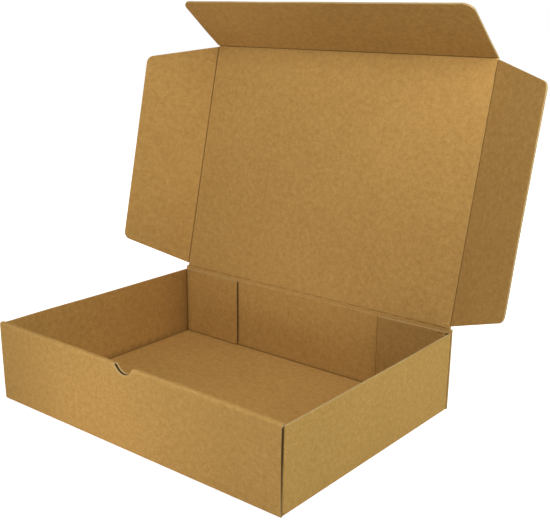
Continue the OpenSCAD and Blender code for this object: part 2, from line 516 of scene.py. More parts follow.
def inside_walls(faces, walls):
    """Which triangles lie inside the outline. The side changes at each edge of the outline and of a hole."""
    beside = {}
    for k, f in enumerate(faces):
        for i in range(3):
            beside.setdefault(tuple(sorted((f[i], f[(i + 1) % 3]))), []).append(k)
    inside = np.full(len(faces), -1)
    rim = [(e, ks[0]) for e, ks in beside.items() if len(ks) == 1]
    for e, k in rim:
        inside[k] = int(e in walls)
    stack = [k for _, k in rim]
    while stack:
        k = stack.pop()
        f = faces[k]
        for i in range(3):
            e = tuple(sorted((f[i], f[(i + 1) % 3])))
            for other in beside[e]:
                if inside[other] < 0:
                    inside[other] = inside[k] ^ int(e in walls)
                    stack.append(other)
    return inside == 1


def rims(faces):
    """The rings of edges round the sheet and its holes, each with the sheet on its left."""
    seen = {(f[k], f[(k + 1) % 3]) for f in faces for k in range(3)}
    open_edges = [(i, j) for i, j in seen if (j, i) not in seen]
    follow = dict(open_edges)
    if len(follow) != len(open_edges):
        raise ValueError("the sheet's rim touches itself")
    rings = []
    while follow:
        start = min(follow)
        ring = [start]
        while follow[ring[-1]] != start:
            ring.append(follow[ring[-1]])
        for i in ring:
            del follow[i]
        rings.append(np.array(ring))
    return rings


def unit(vectors):
    return vectors / np.linalg.norm(vectors, axis=1)[:, None]


def left_of(ways):
    return np.stack([-ways[:, 1], ways[:, 0]], 1)


def rim_shape(p, crease):
    """For each point of a rim: the way inwards, the bevel's shift, a crease before it, a crease after it."""
    before, after = np.roll(p, 1, 0), np.roll(p, -1, 0)
    d0, d1 = unit(p - before), unit(after - p)
    n0, n1 = left_of(d0), left_of(d1)
    inwards = (n0 + n1) / np.maximum(1 + (n0 * n1).sum(1), MITRE_LIMIT)[:, None]
    c0 = np.array([crease(*m) for m in (p + before) / 2])
    c1 = np.array([crease(*m) for m in (p + after) / 2])
    bevel = np.zeros_like(p)
    for k in np.nonzero(c0 | c1)[0]:
        if c0[k] and c1[k]:
            bevel[k] = inwards[k] * BEVEL
        elif c0[k]:
            bevel[k] = d1[k] * BEVEL / max(d1[k] @ n0[k], SLOPE_LIMIT)
        else:
            bevel[k] = -d0[k] * BEVEL / max(-d0[k] @ n1[k], SLOPE_LIMIT)
    return inwards, bevel, c0, c1


def board_piece(name, fold, loops, rows, crease, wear_and_shade, at=(0.0, 0.0), fine=()):
    """A closed board folded from the flat sheet.

    It has two faces, bevelled edges at the creases, and cut edges that show the flutes.
    """
    flat, faces = triangulated(loops, [sampled(loop, crease) for loop in loops], rows, fine)
    shifted = flat.copy()
    ring_points, ring_sheet, quads, marks = [], [], [], []
    count = len(flat)
    base = 2 * count
    for ring in rims(faces):
        p = flat[ring]
        inwards, bevel, c0, c1 = rim_shape(p, crease)
        shifted[ring] = p + bevel
        cut = ~(c0 | c1)
        wave = BOARD / 2 + FLUTE_RISE * np.sin((p[:, 0] + at[0]) * 2 * math.pi / FLUTE_PITCH)
        ids = np.zeros((len(LEVELS), len(ring)), int)
        ids[0], ids[-1] = ring, count + ring
        for k, n in enumerate(LEVELS[1:-1], 1):
            between = ramp(n, LINER, LINER + LINER_EDGE) * ramp(n, BOARD - LINER, BOARD - LINER - LINER_EDGE)
            hollow = between * (1 - line(n - wave, FLUTE_PAPER))
            q = p + bevel * n / BOARD + inwards * (FLUTE_DEPTH * hollow * cut)[:, None]
            level = np.full(len(q), n)
            ring_points.append(fold(q[:, 0], q[:, 1], level))
            ring_sheet.append(np.column_stack([q + at, level]))
            ids[k] = base + np.arange(len(ring))
            base += len(ring)
        for lower, upper in zip(ids[:-1], ids[1:]):
            quads.append(np.column_stack([lower, np.roll(lower, -1), np.roll(upper, -1), upper]))
            marks.append(np.where(c1, CREASE_RAW, 1.0))
    outer_n, inner_n = np.zeros(count), np.full(count, BOARD)
    outer = fold(flat[:, 0], flat[:, 1], outer_n)
    inner = fold(shifted[:, 0], shifted[:, 1], inner_n)
    points = np.vstack([outer, inner, *ring_points])
    outer_sheet = np.column_stack([flat + at, outer_n])
    inner_sheet = np.column_stack([shifted + at, inner_n])
    sheet = np.vstack([outer_sheet, inner_sheet, *ring_sheet])
    polygons = [tuple(f) for part in (faces[:, ::-1], faces + count, np.vstack(quads)) for f in part]
    marks = np.concatenate([np.zeros(2 * len(faces)), *marks])
    return made_mesh(name, points, polygons, sheet, marks, wear_and_shade(*sheet.T))


def made_mesh(name, points, polygons, sheet, marks, wear_and_shade_values):
    """The piece as an object. Its attributes tell the material of the flat sheet, raw edges, and wear with
    painted shade.
    """
    points = points * MM
    fans = [(f[0], f[k], f[k + 1]) for f in polygons for k in range(1, len(f) - 1)]
    corners = points[np.array(fans)]
    if (corners[:, 0] * np.cross(corners[:, 1], corners[:, 2])).sum() < 0:
        polygons = [f[::-1] for f in polygons]
    mesh = bpy.data.meshes.new(name)
    mesh.from_pydata([tuple(p) for p in points], [], polygons)
    place = mesh.attributes.new("sheet", "FLOAT_VECTOR", "POINT")
    place.data.foreach_set("vector", (sheet * MM).astype(np.float32).ravel())
    raw = mesh.attributes.new("edge", "FLOAT", "FACE")
    raw.data.foreach_set("value", np.asarray(marks, np.float32))
    # pale wear above 0, painted shade below 0
    wear_and_shade_layer = mesh.attributes.new("wear_and_shade", "FLOAT", "POINT")
    wear_and_shade_layer.data.foreach_set("value", np.asarray(wear_and_shade_values, np.float32))
    mesh.shade_smooth()
    mesh.set_sharp_from_angle(angle=math.radians(SHARP_ANGLE))
    mesh.update()
    made = bpy.data.objects.new(name, mesh)
    scene.collection.objects.link(made)
    return made


# The tray

FRONT_B = -FLOOR_Y
right_half = [
    (LOCK_X - LOCK_W / 2, FRONT_B - INNER_END, LOCK_ROOT_R),
    (LOCK_X - LOCK_W / 2, FRONT_B - LOCK_TIP, LOCK_TIP_R),
    (LOCK_X + LOCK_W / 2, FRONT_B - LOCK_TIP, LOCK_TIP_R),
    (LOCK_X + LOCK_W / 2, FRONT_B - INNER_END, LOCK_ROOT_R),
    (INNER_X, FRONT_B - INNER_END, INNER_R),
    (INNER_X, FRONT_B - ROLL_2, ROLL_STEP_R),
    (BOX_W / 2, FRONT_B - ROLL_2, ROLL_R),
    (BOX_W / 2, FRONT_B, 0),
    (FLOOR_X, FRONT_B, 0),
    (FLOOR_X, STUB_Y0, 0),
    (STUB_A, STUB_Y0, 0),
    (STUB_A, WALL_Y0, 0),
    (TAB_A, WALL_Y0, 0),
    (TAB_A, FRONT_TAB_B, TAB_R),
    (WALL_TOP, FRONT_TAB_B, TAB_R),
    (WALL_TOP, REAR_TAB_B, REAR_TAB_R),
    (TAB_A, REAR_TAB_B, TAB_R),
    (TAB_A, WALL_Y1, 0),
    (STUB_A, WALL_Y1, 0),
    (STUB_A, STUB_Y1, 0),
    (FLOOR_X, STUB_Y1, 0),
    (FLOOR_X, FLOOR_Y, 0),
    (BOX_W / 2, FLOOR_Y, 0),
    (BOX_W / 2, BACK_B - SLIT, 0),
]
tray_outline = outline(right_half + mirrored(right_half))


def notch_half(z):
    """Half width of the thumb notch at height z of the front wall."""
    lip = FRONT_H - NOTCH_LIP
    touch = NOTCH_Z + (lip - NOTCH_Z) * NOTCH_R / (NOTCH_R + NOTCH_LIP)
    if z < touch:
        return math.sqrt(max(NOTCH_R**2 - (z - NOTCH_Z) ** 2, 0))
    return LIP_X - math.sqrt(max(NOTCH_LIP**2 - (z - lip) ** 2, 0))


def notch_outline():
    low = FRONT_H - NOTCH_D
    heights = low + (FRONT_H - low) * np.sin(np.linspace(0, math.pi / 2, NOTCH_STEPS)) ** 2
    half = []
    for z in heights:
        s = BEND + z - FOLD_OUT
        if z > FRONT_H - FOLD_OUT:
            s = ROLL_1 + math.asin(min(1, (z - FRONT_H + FOLD_OUT) / FOLD_OUT)) / (math.pi / 2) * BEND
        half.append((notch_half(z), s))
    total = STRIP + ROLL_2
    down = half + [(x, total - s) for x, s in reversed(half)]
    right = [(x, FRONT_B - s) for x, s in down[1:-1]]
    ends = [(0.0, FRONT_B - down[0][1]), (0.0, FRONT_B - down[-1][1])]
    return np.array([ends[0]] + [(-x, y) for x, y in right] + [ends[1]] + right[::-1])


def slot_outline(side):
    y0 = -BOX_D / 2 + ROLL_T - BOARD - LOCK_ROOM
    x0 = side * LOCK_X - LOCK_W / 2 - LOCK_ROOM
    x1, y1 = x0 + LOCK_W + 2 * LOCK_ROOM, y0 + BOARD + 2 * LOCK_ROOM
    return np.array([(x0, y0), (x0, y1), (x1, y1), (x1, y0)])


# Where the mesh is fine: the crumpled corner, and both panels of the front wall below the notch
crumple_y1 = WALL_Y1 + 24
notch_reach, notch_near, notch_far = 14, 2, 12
tray_fine = [
    (WALL_TOP - 14, WALL_Y1 + 3, WALL_TOP - 1, crumple_y1),
    (-notch_reach, FRONT_B - ROLL_1 + notch_near, notch_reach, FRONT_B - ROLL_1 + notch_far),
    (-notch_reach, FRONT_B - INNER - notch_far, notch_reach, FRONT_B - INNER - notch_near),
]


def tray_rows():
    """Rows of points along the folds, and beside the edges where wear and painted shade have to stay narrow.
    """
    rows = []
    across = [-FOLD_GUARD, *np.linspace(0, BEND, FOLD_STEPS), BEND + FOLD_GUARD]
    # the strip over the top is narrow, so its second fold has no guard row of its own on that side
    front_folds = [(0, BOX_W / 2, across), (ROLL_1, BOX_W / 2, across), (ROLL_2, INNER_X, across[1:])]
    for start, half, places in front_folds:
        for s in [start + t for t in places]:
            reach = half if s > 0 else FLOOR_X
            rows.append(row((-reach, FRONT_B - s), (reach, FRONT_B - s)))
    for t in across:
        reach = BOX_W / 2 if t > 0 else FLOOR_X
        rows.append(row((-reach, FLOOR_Y + t), (reach, FLOOR_Y + t)))
        for side in (-1, 1):
            if t <= BEND:
                x = side * (FLOOR_X + t)
                rows.append(row((x, STUB_Y0), (x, STUB_Y1)))
            for end, sense in ((WALL_Y0, -1), (WALL_Y1, 1)):
                rows.append(row((side * TAB_A, end + sense * t), (side * WALL_TOP, end + sense * t)))
    hinge_x = BOX_W / 2 - HINGE_ROW_INSET
    for t in (HINGE_RUB - HINGE_RUB_HALF, HINGE_RUB, HINGE_RUB + HINGE_RUB_HALF):
        rows.append(row((-hinge_x, BACK_B - t), (hinge_x, BACK_B - t)))
    tab_end = REAR_TAB_B - RIM_GUARD
    tab_low, tab_high = TAB_A + TAB_R, WALL_TOP - TAB_ROW_INSET
    for side in (-1, 1):
        top = side * (WALL_TOP - RIM_GUARD)
        rows.append(row((side * tab_low, tab_end), (side * tab_high, tab_end)))
        rows.append(row((top, WALL_Y0 + WALL_ROW_INSET), (top, WALL_Y1 - WALL_ROW_INSET)))
        tab_start = crumple_y1 + WALL_ROW_INSET if side > 0 else WALL_Y1 + CREASE_ROW_INSET
        rows.append(row((top, tab_start), (top, REAR_TAB_B - REAR_ROW_INSET)))
    return rows


def tray_pale(a, b, n):
    """How far folds and edges are rubbed pale."""
    s, out, inner = -FLOOR_Y - b, np.abs(a), n > BOARD / 2
    chain = out <= CHAIN_X
    front_foot = chain * line(s - BEND / 2, FOOT_RUB)
    back_foot = chain * line(b - FLOOR_Y - BEND / 2, FOOT_RUB)
    side_foot = (np.abs(b) < FLOOR_Y) * line(out - FLOOR_X - BEND / 2, FOOT_RUB)
    feet = ~inner * 0.35 * (front_foot + back_foot + side_foot)
    roll = 0.55 * line(s - ROLL_1 - BEND / 2, 0.9) + 0.5 * line(s - ROLL_2 - BEND / 2, 1.0)
    height = np.minimum(s, STRIP + ROLL_2 - s) - BEND + FOLD_OUT
    notch = 1.8 * line(np.hypot(a, height - NOTCH_Z) - NOTCH_R, 1.0)
    notch = notch * (n < BOARD - 0.1) * (height > FRONT_H - 2 * NOTCH_D)
    hinge = inner * 2.4 * line(b - BACK_B + HINGE_RUB, 0.5)
    wall_top = 0.7 * line(out - WALL_TOP, 0.5)
    return feet + np.where(chain, roll + notch + hinge, wall_top)


def tray_painted_shade(a, b, n):
    """How much painted shade darkens inner creases, gaps and shaded places."""
    s, out, inner = -FLOOR_Y - b, np.abs(a), n > BOARD / 2
    chain = out <= CHAIN_X
    # painted shade inside the hidden gap of the rolled front wall
    inside_roll = 0.9 * chain * (n > BOARD - 0.05) * ramp(s, BEND + 4, BEND + 8)
    # painted shadow on the front panel's cut edges at both ends
    front_end = chain * (out > BOX_W / 2 - 0.6) * (s > BEND) * (s < ROLL_1)
    front_end = front_end * (n > 0.1) * (n < BOARD - 0.1) * ramp(s, -40.5, 49.5)
    # painted shadow in the slit between the front panel and each side wall's corner fold
    round_corner = (WALL_Y0 - b) / BEND - 0.5 * ramp(out, WALL_TOP, WALL_TOP - 75)
    slit = ~chain * ~inner * ramp(round_corner, 0.25, 0.4)
    # painted shadow on the rear tabs' free edges, and painted shade in the inner back corner folds
    tab_edge = np.where(a > 0, 0.5, 1.0) * ramp(b, REAR_TAB_B - 0.9, REAR_TAB_B - 0.3)
    corners = ~chain * (out > TAB_A) * (inner * line(b - WALL_Y1 - BEND / 2, 1.7) + tab_edge)
    # painted shade along the inner folds at the foot of the back and side walls
    back_crease = 0.8 * chain * line(b - FLOOR_Y - BEND / 2, 1.4)
    side_crease = 0.75 * (np.abs(b) < FLOOR_Y) * line(out - FLOOR_X - BEND / 2, 1.5)
    # painted shade over the right rear tab, and on the left wall's inner face towards its back corner
    right_tab = 0.24 * (a > CHAIN_X) * ramp(b, WALL_Y1 + BEND, WALL_Y1 + BEND + 4)
    left_wall = 0.3 * (a < -CHAIN_X) * inner * (b < WALL_Y1) * ramp(b, WALL_Y1 - 55, WALL_Y1 + 5)
    gaps = inside_roll + front_end + slit + corners
    return gaps + inner * (back_crease + side_crease) + right_tab + left_wall


def tray_wear_and_shade(a, b, n):
    """Above 0 where the board is rubbed pale, below 0 at painted shade in inner creases, gaps and shaded
    places, and at dark flecks.
    """
    torn = (a > CHAIN_X) * (n > BOARD / 2) * spot(a, b, WALL_TOP - 1, WALL_Y1 + 6, 4, 7)
    flecks = 1.4 * torn * hills(a, b, CRUMPLE_SIZE, 19)
    # painted shade, with the torn corner's dark flecks
    shade_and_flecks = np.clip(tray_painted_shade(a, b, n) + np.maximum(-flecks, 0), 0, 1)
    pale = np.clip(tray_pale(a, b, n), 0, 2.4) * (0.75 + 0.25 * hills(a, b, 11, 21))
    return (pale + np.maximum(flecks, 0)) * (1 - shade_and_flecks) - shade_and_flecks


tray = board_piece(
    "tray_board",
    fold_tray,
    [tray_outline, notch_outline(), slot_outline(-1), slot_outline(1)],
    tray_rows(),
    lambda x, y: y > BACK_B - SLIT - TOUCH,
    tray_wear_and_shade,
    fine=tray_fine,
)


# The lid and its three flaps


def patchy(pale, a, b, seed):
    """Rubbed places that come and go along their length."""
    return np.clip(pale, 0, 1) * (0.7 + 0.3 * hills(a, b, 10, seed))


def lid_wear(a, b, n):
    p = b - BACK_B
    near = np.minimum(CREASE_X - np.abs(a), LID_L - p)
    return patchy(0.5 * line(near, CREASE_RUB) + 0.2 * line(p, CREASE_RUB), a, b, 22)


def lid_board():
    x, y0, y1 = CREASE_X - SLIT, SLIT, LID_L - SLIT
    guard_x, guard_y0, guard_y1 = x - LID_GUARD, y0 + LID_GUARD, y1 - LID_GUARD
    rows = [row((side * guard_x, guard_y0), (side * guard_x, guard_y1)) for side in (-1, 1)]
    rows += [row((-guard_x, y), (guard_x, y)) for y in (guard_y0, guard_y1)]
    corners = np.array([(-x, y0), (x, y0), (x, y1), (-x, y1)])
    return board_piece("lid_panel", fold_lid, [corners], rows, lambda x, y: True, lid_wear, at=(0, BACK_B))


def flap_wear(a, b, n):
    s = np.abs(a) - CREASE_X
    return patchy(0.5 * line(s, CREASE_RUB) + 0.5 * line(s - FLAP_L, EDGE_RUB), a, b, 23)


def flap_board(name, side, angle):
    """A side flap. Its crease lies on the second axis, and the left one is the right one mirrored."""
    y0, y1 = FLAP_HINGE_INSET, LID_L - FLAP_TUCK_INSET
    t0, t1 = math.tan(math.radians(FLAP_HINGE_TAPER)), math.tan(math.radians(FLAP_TUCK_TAPER))
    corners = [
        (SLIT, y0 + SLIT * t0, 0),
        (FLAP_L, y0 + FLAP_L * t0, FLAP_R),
        (FLAP_L, y1 - FLAP_L * t1, FLAP_R),
        (SLIT, y1 - SLIT * t1, 0),
    ]
    edge_x = FLAP_L - EDGE_GUARD
    rows = [
        row((CREASE_GUARD, y0 + CREASE_ROW_INSET), (CREASE_GUARD, y1 - CREASE_ROW_INSET)),
        row((edge_x, FLAP_ROW_INSET), (edge_x, LID_L - FLAP_ROW_INSET)),
    ]
    if side < 0:
        corners, rows = mirrored(corners), [r * (-1, 1) for r in rows]
    return board_piece(
        name,
        fold_flap(side, angle),
        [outline(corners, FLAP_CORNER_STEPS)],
        rows,
        lambda x, y: abs(x) < SLIT + TOUCH,
        flap_wear,
        at=(side * CREASE_X, BACK_B),
    )


def tuck_wear(a, b, n):
    s = b - BACK_B - LID_L
    return patchy(0.5 * line(s, CREASE_RUB) + 0.6 * line(s - TUCK_L, EDGE_RUB), a, b, 24)


def tuck_board():
    corners = [(-TUCK_X, SLIT, 0), (TUCK_X, SLIT, 0), (TUCK_X, TUCK_L, TUCK_R), (-TUCK_X, TUCK_L, TUCK_R)]
    crease_x, edge_x, edge_y = TUCK_X - CREASE_ROW_INSET, TUCK_X - TUCK_ROW_INSET, TUCK_L - EDGE_GUARD
    rows = [
        row((-crease_x, CREASE_GUARD), (crease_x, CREASE_GUARD)),
        row((-edge_x, edge_y), (edge_x, edge_y)),
    ]
    return board_piece(
        "tuck_flap_board",
        fold_tuck,
        [outline(corners, FLAP_CORNER_STEPS)],
        rows,
        lambda x, y: y < SLIT + TOUCH,
        tuck_wear,
        at=(0, BACK_B + LID_L),
    )


lid = lid_board()
left_flap = flap_board("left_flap", -1, LEFT_ANGLE)
right_flap = flap_board("right_flap", 1, RIGHT_ANGLE)
tuck = tuck_board()


# The crushed creases between the boards

EDGE = SLIT + BEVEL
X_AXIS = np.array([1.0, 0, 0])
STATION_STEP = 3
# Shares of the bevelled edge at which the strip's flanks have points, and how far they sink into it
FLANK = np.array([0.05, 0.4, 0.7, 0.95])
FLANK_LENGTH = 0.97
FLANK_SINK = 0.02
TOP_LIMIT = 0.98
CREST_POINTS = 15
BLEND_REACH = 1.25
# Depth, width and lean of the crushed line, as shares of the groove; width and lean also place the painted
# shade down the valley
FLAP_VALLEY = (0.55, 0.22, 0.0)
HINGE_VALLEY = (0.3, 0.1, 0.05)
# How far the hinge's line of painted shade is broken up
HINGE_BROKEN = 0.8
# How far the strips end short of the boards' corners
STRIP_END = 1.2
FLAP_STRIP_END = 0.8


def crease_strip(name, origin, along, sides, length, sheet_at, valley, seed, broken=0.0):
    """Crushed liner that fills the groove between two bevelled edges.

    along is the axis, and sides run from it to each board's inner edge. The result is the strip with
    the start and the end of its bend.
    """
    depth, width, lean = valley
    radius = np.linalg.norm(sides[0])
    e1 = sides[0] / radius
    e2 = np.cross(along, e1)
    gap = math.atan2(sides[1] @ e2, sides[1] @ e1) % (2 * math.pi)
    if gap > math.pi:
        e2, gap = -e2, 2 * math.pi - gap
    stations = np.linspace(0, 1, max(8, round(length / STATION_STEP)))
    middle = np.linspace(0, 1, CREST_POINTS)[1:-1]
    chord = radius * math.cos(gap / 2) / np.cos((middle - 0.5) * gap)
    flank = FLANK_LENGTH * radius * FLANK
    ends = np.full(len(FLANK), FLANK_SINK)
    f = np.concatenate([-ends, middle * gap, gap + ends])
    spokes = np.cos(f)[:, None] * e1 + np.sin(f)[:, None] * e2
    points, sheet = [], []
    for u in stations:
        v = np.full(len(middle), u * length)
        dip = depth * (1 + 0.25 * hills(v, 0 * v, 13, seed))
        ridge = 0.1 * (1 + hills(v, 0 * v, 8, seed + 1))
        crest = chord * (1 - dip * line(middle - 0.5 - lean, width))
        crest = crest + ridge * line(middle - 0.5 + 1.6 * width - lean, width)
        r = np.concatenate([flank, np.minimum(crest, radius * TOP_LIMIT), flank[::-1]])
        points.append(origin + along * u * length + r[:, None] * spokes)
        sheet.append(sheet_at(u * length, (f / gap - 0.5) * 2 * radius, r))
    ring = len(f)
    polygons = []
    for k in range(len(stations) - 1):
        for i in range(ring):
            j = (i + 1) % ring
            polygons.append((k * ring + i, k * ring + j, (k + 1) * ring + j, (k + 1) * ring + i))
    last = (len(stations) - 1) * ring
    polygons += [tuple(range(ring))[::-1], tuple(range(last, last + ring))]
    t = np.tile(np.concatenate([0 * ends, middle, 0 * ends + 1]), len(stations))
    v = np.repeat(stations * length, ring)
    # pale crushed liner, with painted shade down the middle of the valley, broken into dashes at the hinge
    dash = 1 - broken * ramp(hills(v, 0 * v, 15, seed + 2), -0.625, 0.625)
    wear_and_shade_values = np.clip(0.45 * (1 - broken) - (1.9 - broken) * dash * line(t - 0.5 - lean, width), -1, 1)
    made = made_mesh(name, np.vstack(points), polygons, np.vstack(sheet), np.zeros(len(polygons)), wear_and_shade_values)
    centre = origin + along * length / 2
    across = math.cos((gap + math.pi) / 2) * e1 + math.sin((gap + math.pi) / 2) * e2
    reach = BLEND_REACH * math.sin(gap / 2) * across
    return made, (centre - reach) * MM, (centre + reach) * MM


def at_lid(x, p, n):
    """One point of the lid."""
    return on_lid(*np.array([[x], [p], [n]], float))[0]


def hinge_strip():
    half = CREASE_X - STRIP_END
    origin = at_lid(-half, 0, 0)
    sides = (np.array([0, -BOARD, -EDGE]), at_lid(-half, EDGE, BOARD) - origin)

    def sheet_at(u, w, r):
        return np.column_stack([np.full(len(w), u - half), BACK_B + w, r])

    return crease_strip(
        "hinge_crease", origin, X_AXIS, sides, 2 * half, sheet_at, HINGE_VALLEY, 31, HINGE_BROKEN
    )


def flap_strip(name, side, angle):
    p0, p1 = FLAP_HINGE_INSET + FLAP_STRIP_END, LID_L - FLAP_TUCK_INSET - FLAP_STRIP_END
    origin = at_lid(side * CREASE_X, p0, 0)
    axis = at_lid(side * CREASE_X, p1, 0) - origin
    along, above = bent(EDGE, BOARD, angle)
    lid_side = at_lid(side * (CREASE_X - EDGE), p0, BOARD) - origin
    flap_side = at_lid(side * (CREASE_X + along), p0, above) - origin

    def sheet_at(u, w, r):
        return np.column_stack([side * (CREASE_X + w), np.full(len(w), BACK_B + p0 + u), r])

    axis = axis / np.linalg.norm(axis)
    return crease_strip(name, origin, axis, (lid_side, flap_side), p1 - p0, sheet_at, FLAP_VALLEY, 33 + side)


def tuck_strip():
    half = TUCK_X - STRIP_END
    origin = at_lid(-half, LID_L, 0)
    along, above = bent(EDGE, BOARD, TUCK_ANGLE)
    sides = (at_lid(-half, LID_L - EDGE, BOARD) - origin, at_lid(-half, LID_L + along, above) - origin)

    def sheet_at(u, w, r):
        return np.column_stack([np.full(len(w), u - half), BACK_B + LID_L + w, r])

    return crease_strip("tuck_crease", origin, X_AXIS, sides, 2 * half, sheet_at, FLAP_VALLEY, 37)


strips = [
    ("tray", "lid", hinge_strip()),
    ("lid", "left_side_flap", flap_strip("left_crease", -1, LEFT_ANGLE)),
    ("lid", "right_side_flap", flap_strip("right_crease", 1, RIGHT_ANGLE)),
    ("lid", "tuck_flap", tuck_strip()),
]


# Kraft board

DARK_KRAFT = (0.42, 0.232, 0.064, 1)
PALE_KRAFT = (0.578, 0.339, 0.104, 1)
DARK_FIBRE = (0.21, 0.105, 0.03, 1)
PALE_FIBRE = (0.699, 0.473, 0.185, 1)
RUBBED = (0.678, 0.441, 0.162, 1)
RAW_EDGE = (0.62, 0.47, 0.24, 1)
# Painted shade for crease valleys, gaps and shaded corners, also the colour of dark flecks
SHADE_AND_FLECK_DARK = (0.07, 0.03, 0.006, 1)
SPECK = (0.1, 0.05, 0.015, 1)
# A dark speck on the lid's inner face
SPECK_A = -111.6
SPECK_P = 22.0
SPECK_R = 0.9
SPECK_CORE = 0.3


def kraft():
    """Brown liner whose grain follows the flat sheet."""
    material = bpy.data.materials.new("kraft_board")
    material.use_nodes = True
    tree = material.node_tree
    shader = tree.nodes["Principled BSDF"]

    def add(kind, inputs, **settings):
        """A node whose inputs, by name or number, get a value or another node's output."""
        node = tree.nodes.new(kind)
        for name, value in settings.items():
            setattr(node, name, value)
        for key, value in inputs.items():
            if isinstance(value, bpy.types.NodeSocket):
                tree.links.new(value, node.inputs[key])
            else:
                node.inputs[key].default_value = value
        return node

    def maths(operation, *values):
        return add("ShaderNodeMath", dict(enumerate(values)), operation=operation).outputs[0]

    def added(base, *terms):
        """base and each output times its weight."""
        for value, weight in terms:
            base = maths("MULTIPLY_ADD", value, weight, base)
        return base

    def mixed(kind, factor, a, b):
        inputs = {0: factor, 6: a, 7: b}
        return add("ShaderNodeMix", inputs, data_type="RGBA", blend_type=kind).outputs[2]

    def stretched(vector, factors):
        return add("ShaderNodeVectorMath", {0: vector, 1: factors}, operation="MULTIPLY").outputs[0]

    def noise(vector, scale, detail, rough=0.55):
        inputs = {"Vector": vector, "Scale": scale, "Detail": detail, "Roughness": rough}
        return add("ShaderNodeTexNoise", inputs).outputs["Fac"]

    def share(value, low, high):
        inputs = {"Value": value, "From Min": low, "From Max": high}
        return add("ShaderNodeMapRange", inputs).outputs[0]

    sheet = add("ShaderNodeAttribute", {}, attribute_name="sheet").outputs["Vector"]
    edge = add("ShaderNodeAttribute", {}, attribute_name="edge").outputs["Fac"]
    wear_and_shade = add("ShaderNodeAttribute", {}, attribute_name="wear_and_shade").outputs["Fac"]
    # the two liners get grain of their own: the sheet's thickness is stretched
    place = stretched(sheet, (1.0, 1.0, 37.0))
    along = stretched(place, (1.0, 0.12, 1.0))
    across = stretched(place, (0.2, 1.0, 1.0))
    cloud = noise(place, 16.0, 3.0)
    blotch = noise(place, 95.0, 2.0)
    mottle = noise(place, 230.0, 3.0, 0.62)
    pulp = noise(place, 900.0, 3.0, 0.6)
    fibre_b = noise(along, 3200.0, 2.0)
    fibre_a = noise(across, 2600.0, 2.0)
    a = add("ShaderNodeSeparateXYZ", {"Vector": sheet}).outputs[0]
    waves = maths("MULTIPLY", a, 2 * math.pi / (FLUTE_PITCH * MM))
    flute = maths("SINE", added(waves, (noise(place, 30.0, 1.0), 2.4)))

    tone = add("ShaderNodeValToRGB", {"Fac": added(0.095, (mottle, 0.62), (blotch, 0.05), (cloud, 0.14))})
    dark_end, pale_end = tone.color_ramp.elements
    dark_end.position, pale_end.position = 0.3, 0.7
    dark_end.color, pale_end.color = DARK_KRAFT, PALE_KRAFT
    shade = added(0.38, (fibre_a, 0.22), (fibre_b, 0.3), (pulp, 0.72), (flute, 0.008))
    grey = add("ShaderNodeCombineColor", {"Red": shade, "Green": shade, "Blue": shade}).outputs[0]
    colour = mixed("MULTIPLY", 1.0, tone.outputs[0], grey)
    # dark and pale fibres in the recycled pulp
    dark_fibre = share(noise(along, 620.0, 2.0, 0.5), 0.7, 0.78)
    colour = mixed("MIX", maths("MULTIPLY", dark_fibre, 0.3), colour, DARK_FIBRE)
    pale_fibre = share(noise(across, 540.0, 2.0, 0.5), 0.68, 0.78)
    colour = mixed("MIX", maths("MULTIPLY", pale_fibre, 0.22), colour, PALE_FIBRE)
    # rubbed folds are paler, raw cut edges paler and duller; painted shade darkens crease valleys, gaps,
    # inside corners and shaded places, as do dark flecks at the torn corner
    rub = maths("MULTIPLY", maths("MAXIMUM", wear_and_shade, 0.0), added(0.05, (mottle, 0.9)))
    colour = mixed("MIX", maths("MULTIPLY", rub, 0.62), colour, RUBBED)
    colour = mixed("MIX", maths("MULTIPLY", edge, 0.75), colour, RAW_EDGE)
    shade_and_flecks = maths("MAXIMUM", maths("MULTIPLY", wear_and_shade, -1.0), 0.0)
    colour = mixed("MIX", maths("MULTIPLY", shade_and_flecks, 0.9), colour, SHADE_AND_FLECK_DARK)
    speck_place = (SPECK_A * MM, (BACK_B + SPECK_P) * MM, BOARD * MM)
    apart = add("ShaderNodeVectorMath", {0: sheet, 1: speck_place}, operation="DISTANCE").outputs["Value"]
    speck = share(apart, SPECK_R * MM, SPECK_CORE * MM)
    colour = mixed("MIX", maths("MULTIPLY", speck, 0.7), colour, SPECK)
    tree.links.new(colour, shader.inputs["Base Color"])
    tree.links.new(added(0.76, (pulp, 0.22)), shader.inputs["Roughness"])
    shader.inputs["Specular IOR Level"].default_value = 0.08
    height = added(0.0, (flute, 0.16), (mottle, 0.8), (pulp, 0.5), (fibre_b, 0.35))
    bump = add("ShaderNodeBump", {"Strength": 0.35, "Distance": 0.00012, "Height": height})
    tree.links.new(bump.outputs[0], shader.inputs["Normal"])
    return material


board = kraft()
for piece, node, slot in (
    (tray, "tray", "tray_board"),
    (lid, "lid", "lid_board"),
    (left_flap, "left_side_flap", "left_flap_board"),
    (right_flap, "right_side_flap", "right_flap_board"),
    (tuck, "tuck_flap", "tuck_flap_board"),
):
    piece.data.materials.append(board)
    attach(piece, node)
    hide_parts(node)
for body_a, body_b, (strip, start, end) in strips:
    strip.data.materials.append(board)
    tuple(start)
    tuple(end)
    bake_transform(strip)


# Stage, light and camera

WHITE = (1, 1, 1, 1)
WORLD_FILL = 0.08
FLOOR_HALF = 3
FLOOR_DROP = 0.0004
FLOOR_GREY = (0.8, 0.8, 0.8, 1)
# The floor's glow rises from near the box to farther out, in metres
GLOW_NEAR = 0.25
GLOW_FAR = 0.8
GLOW_LOW = 0.82
GLOW_HIGH = 1.0


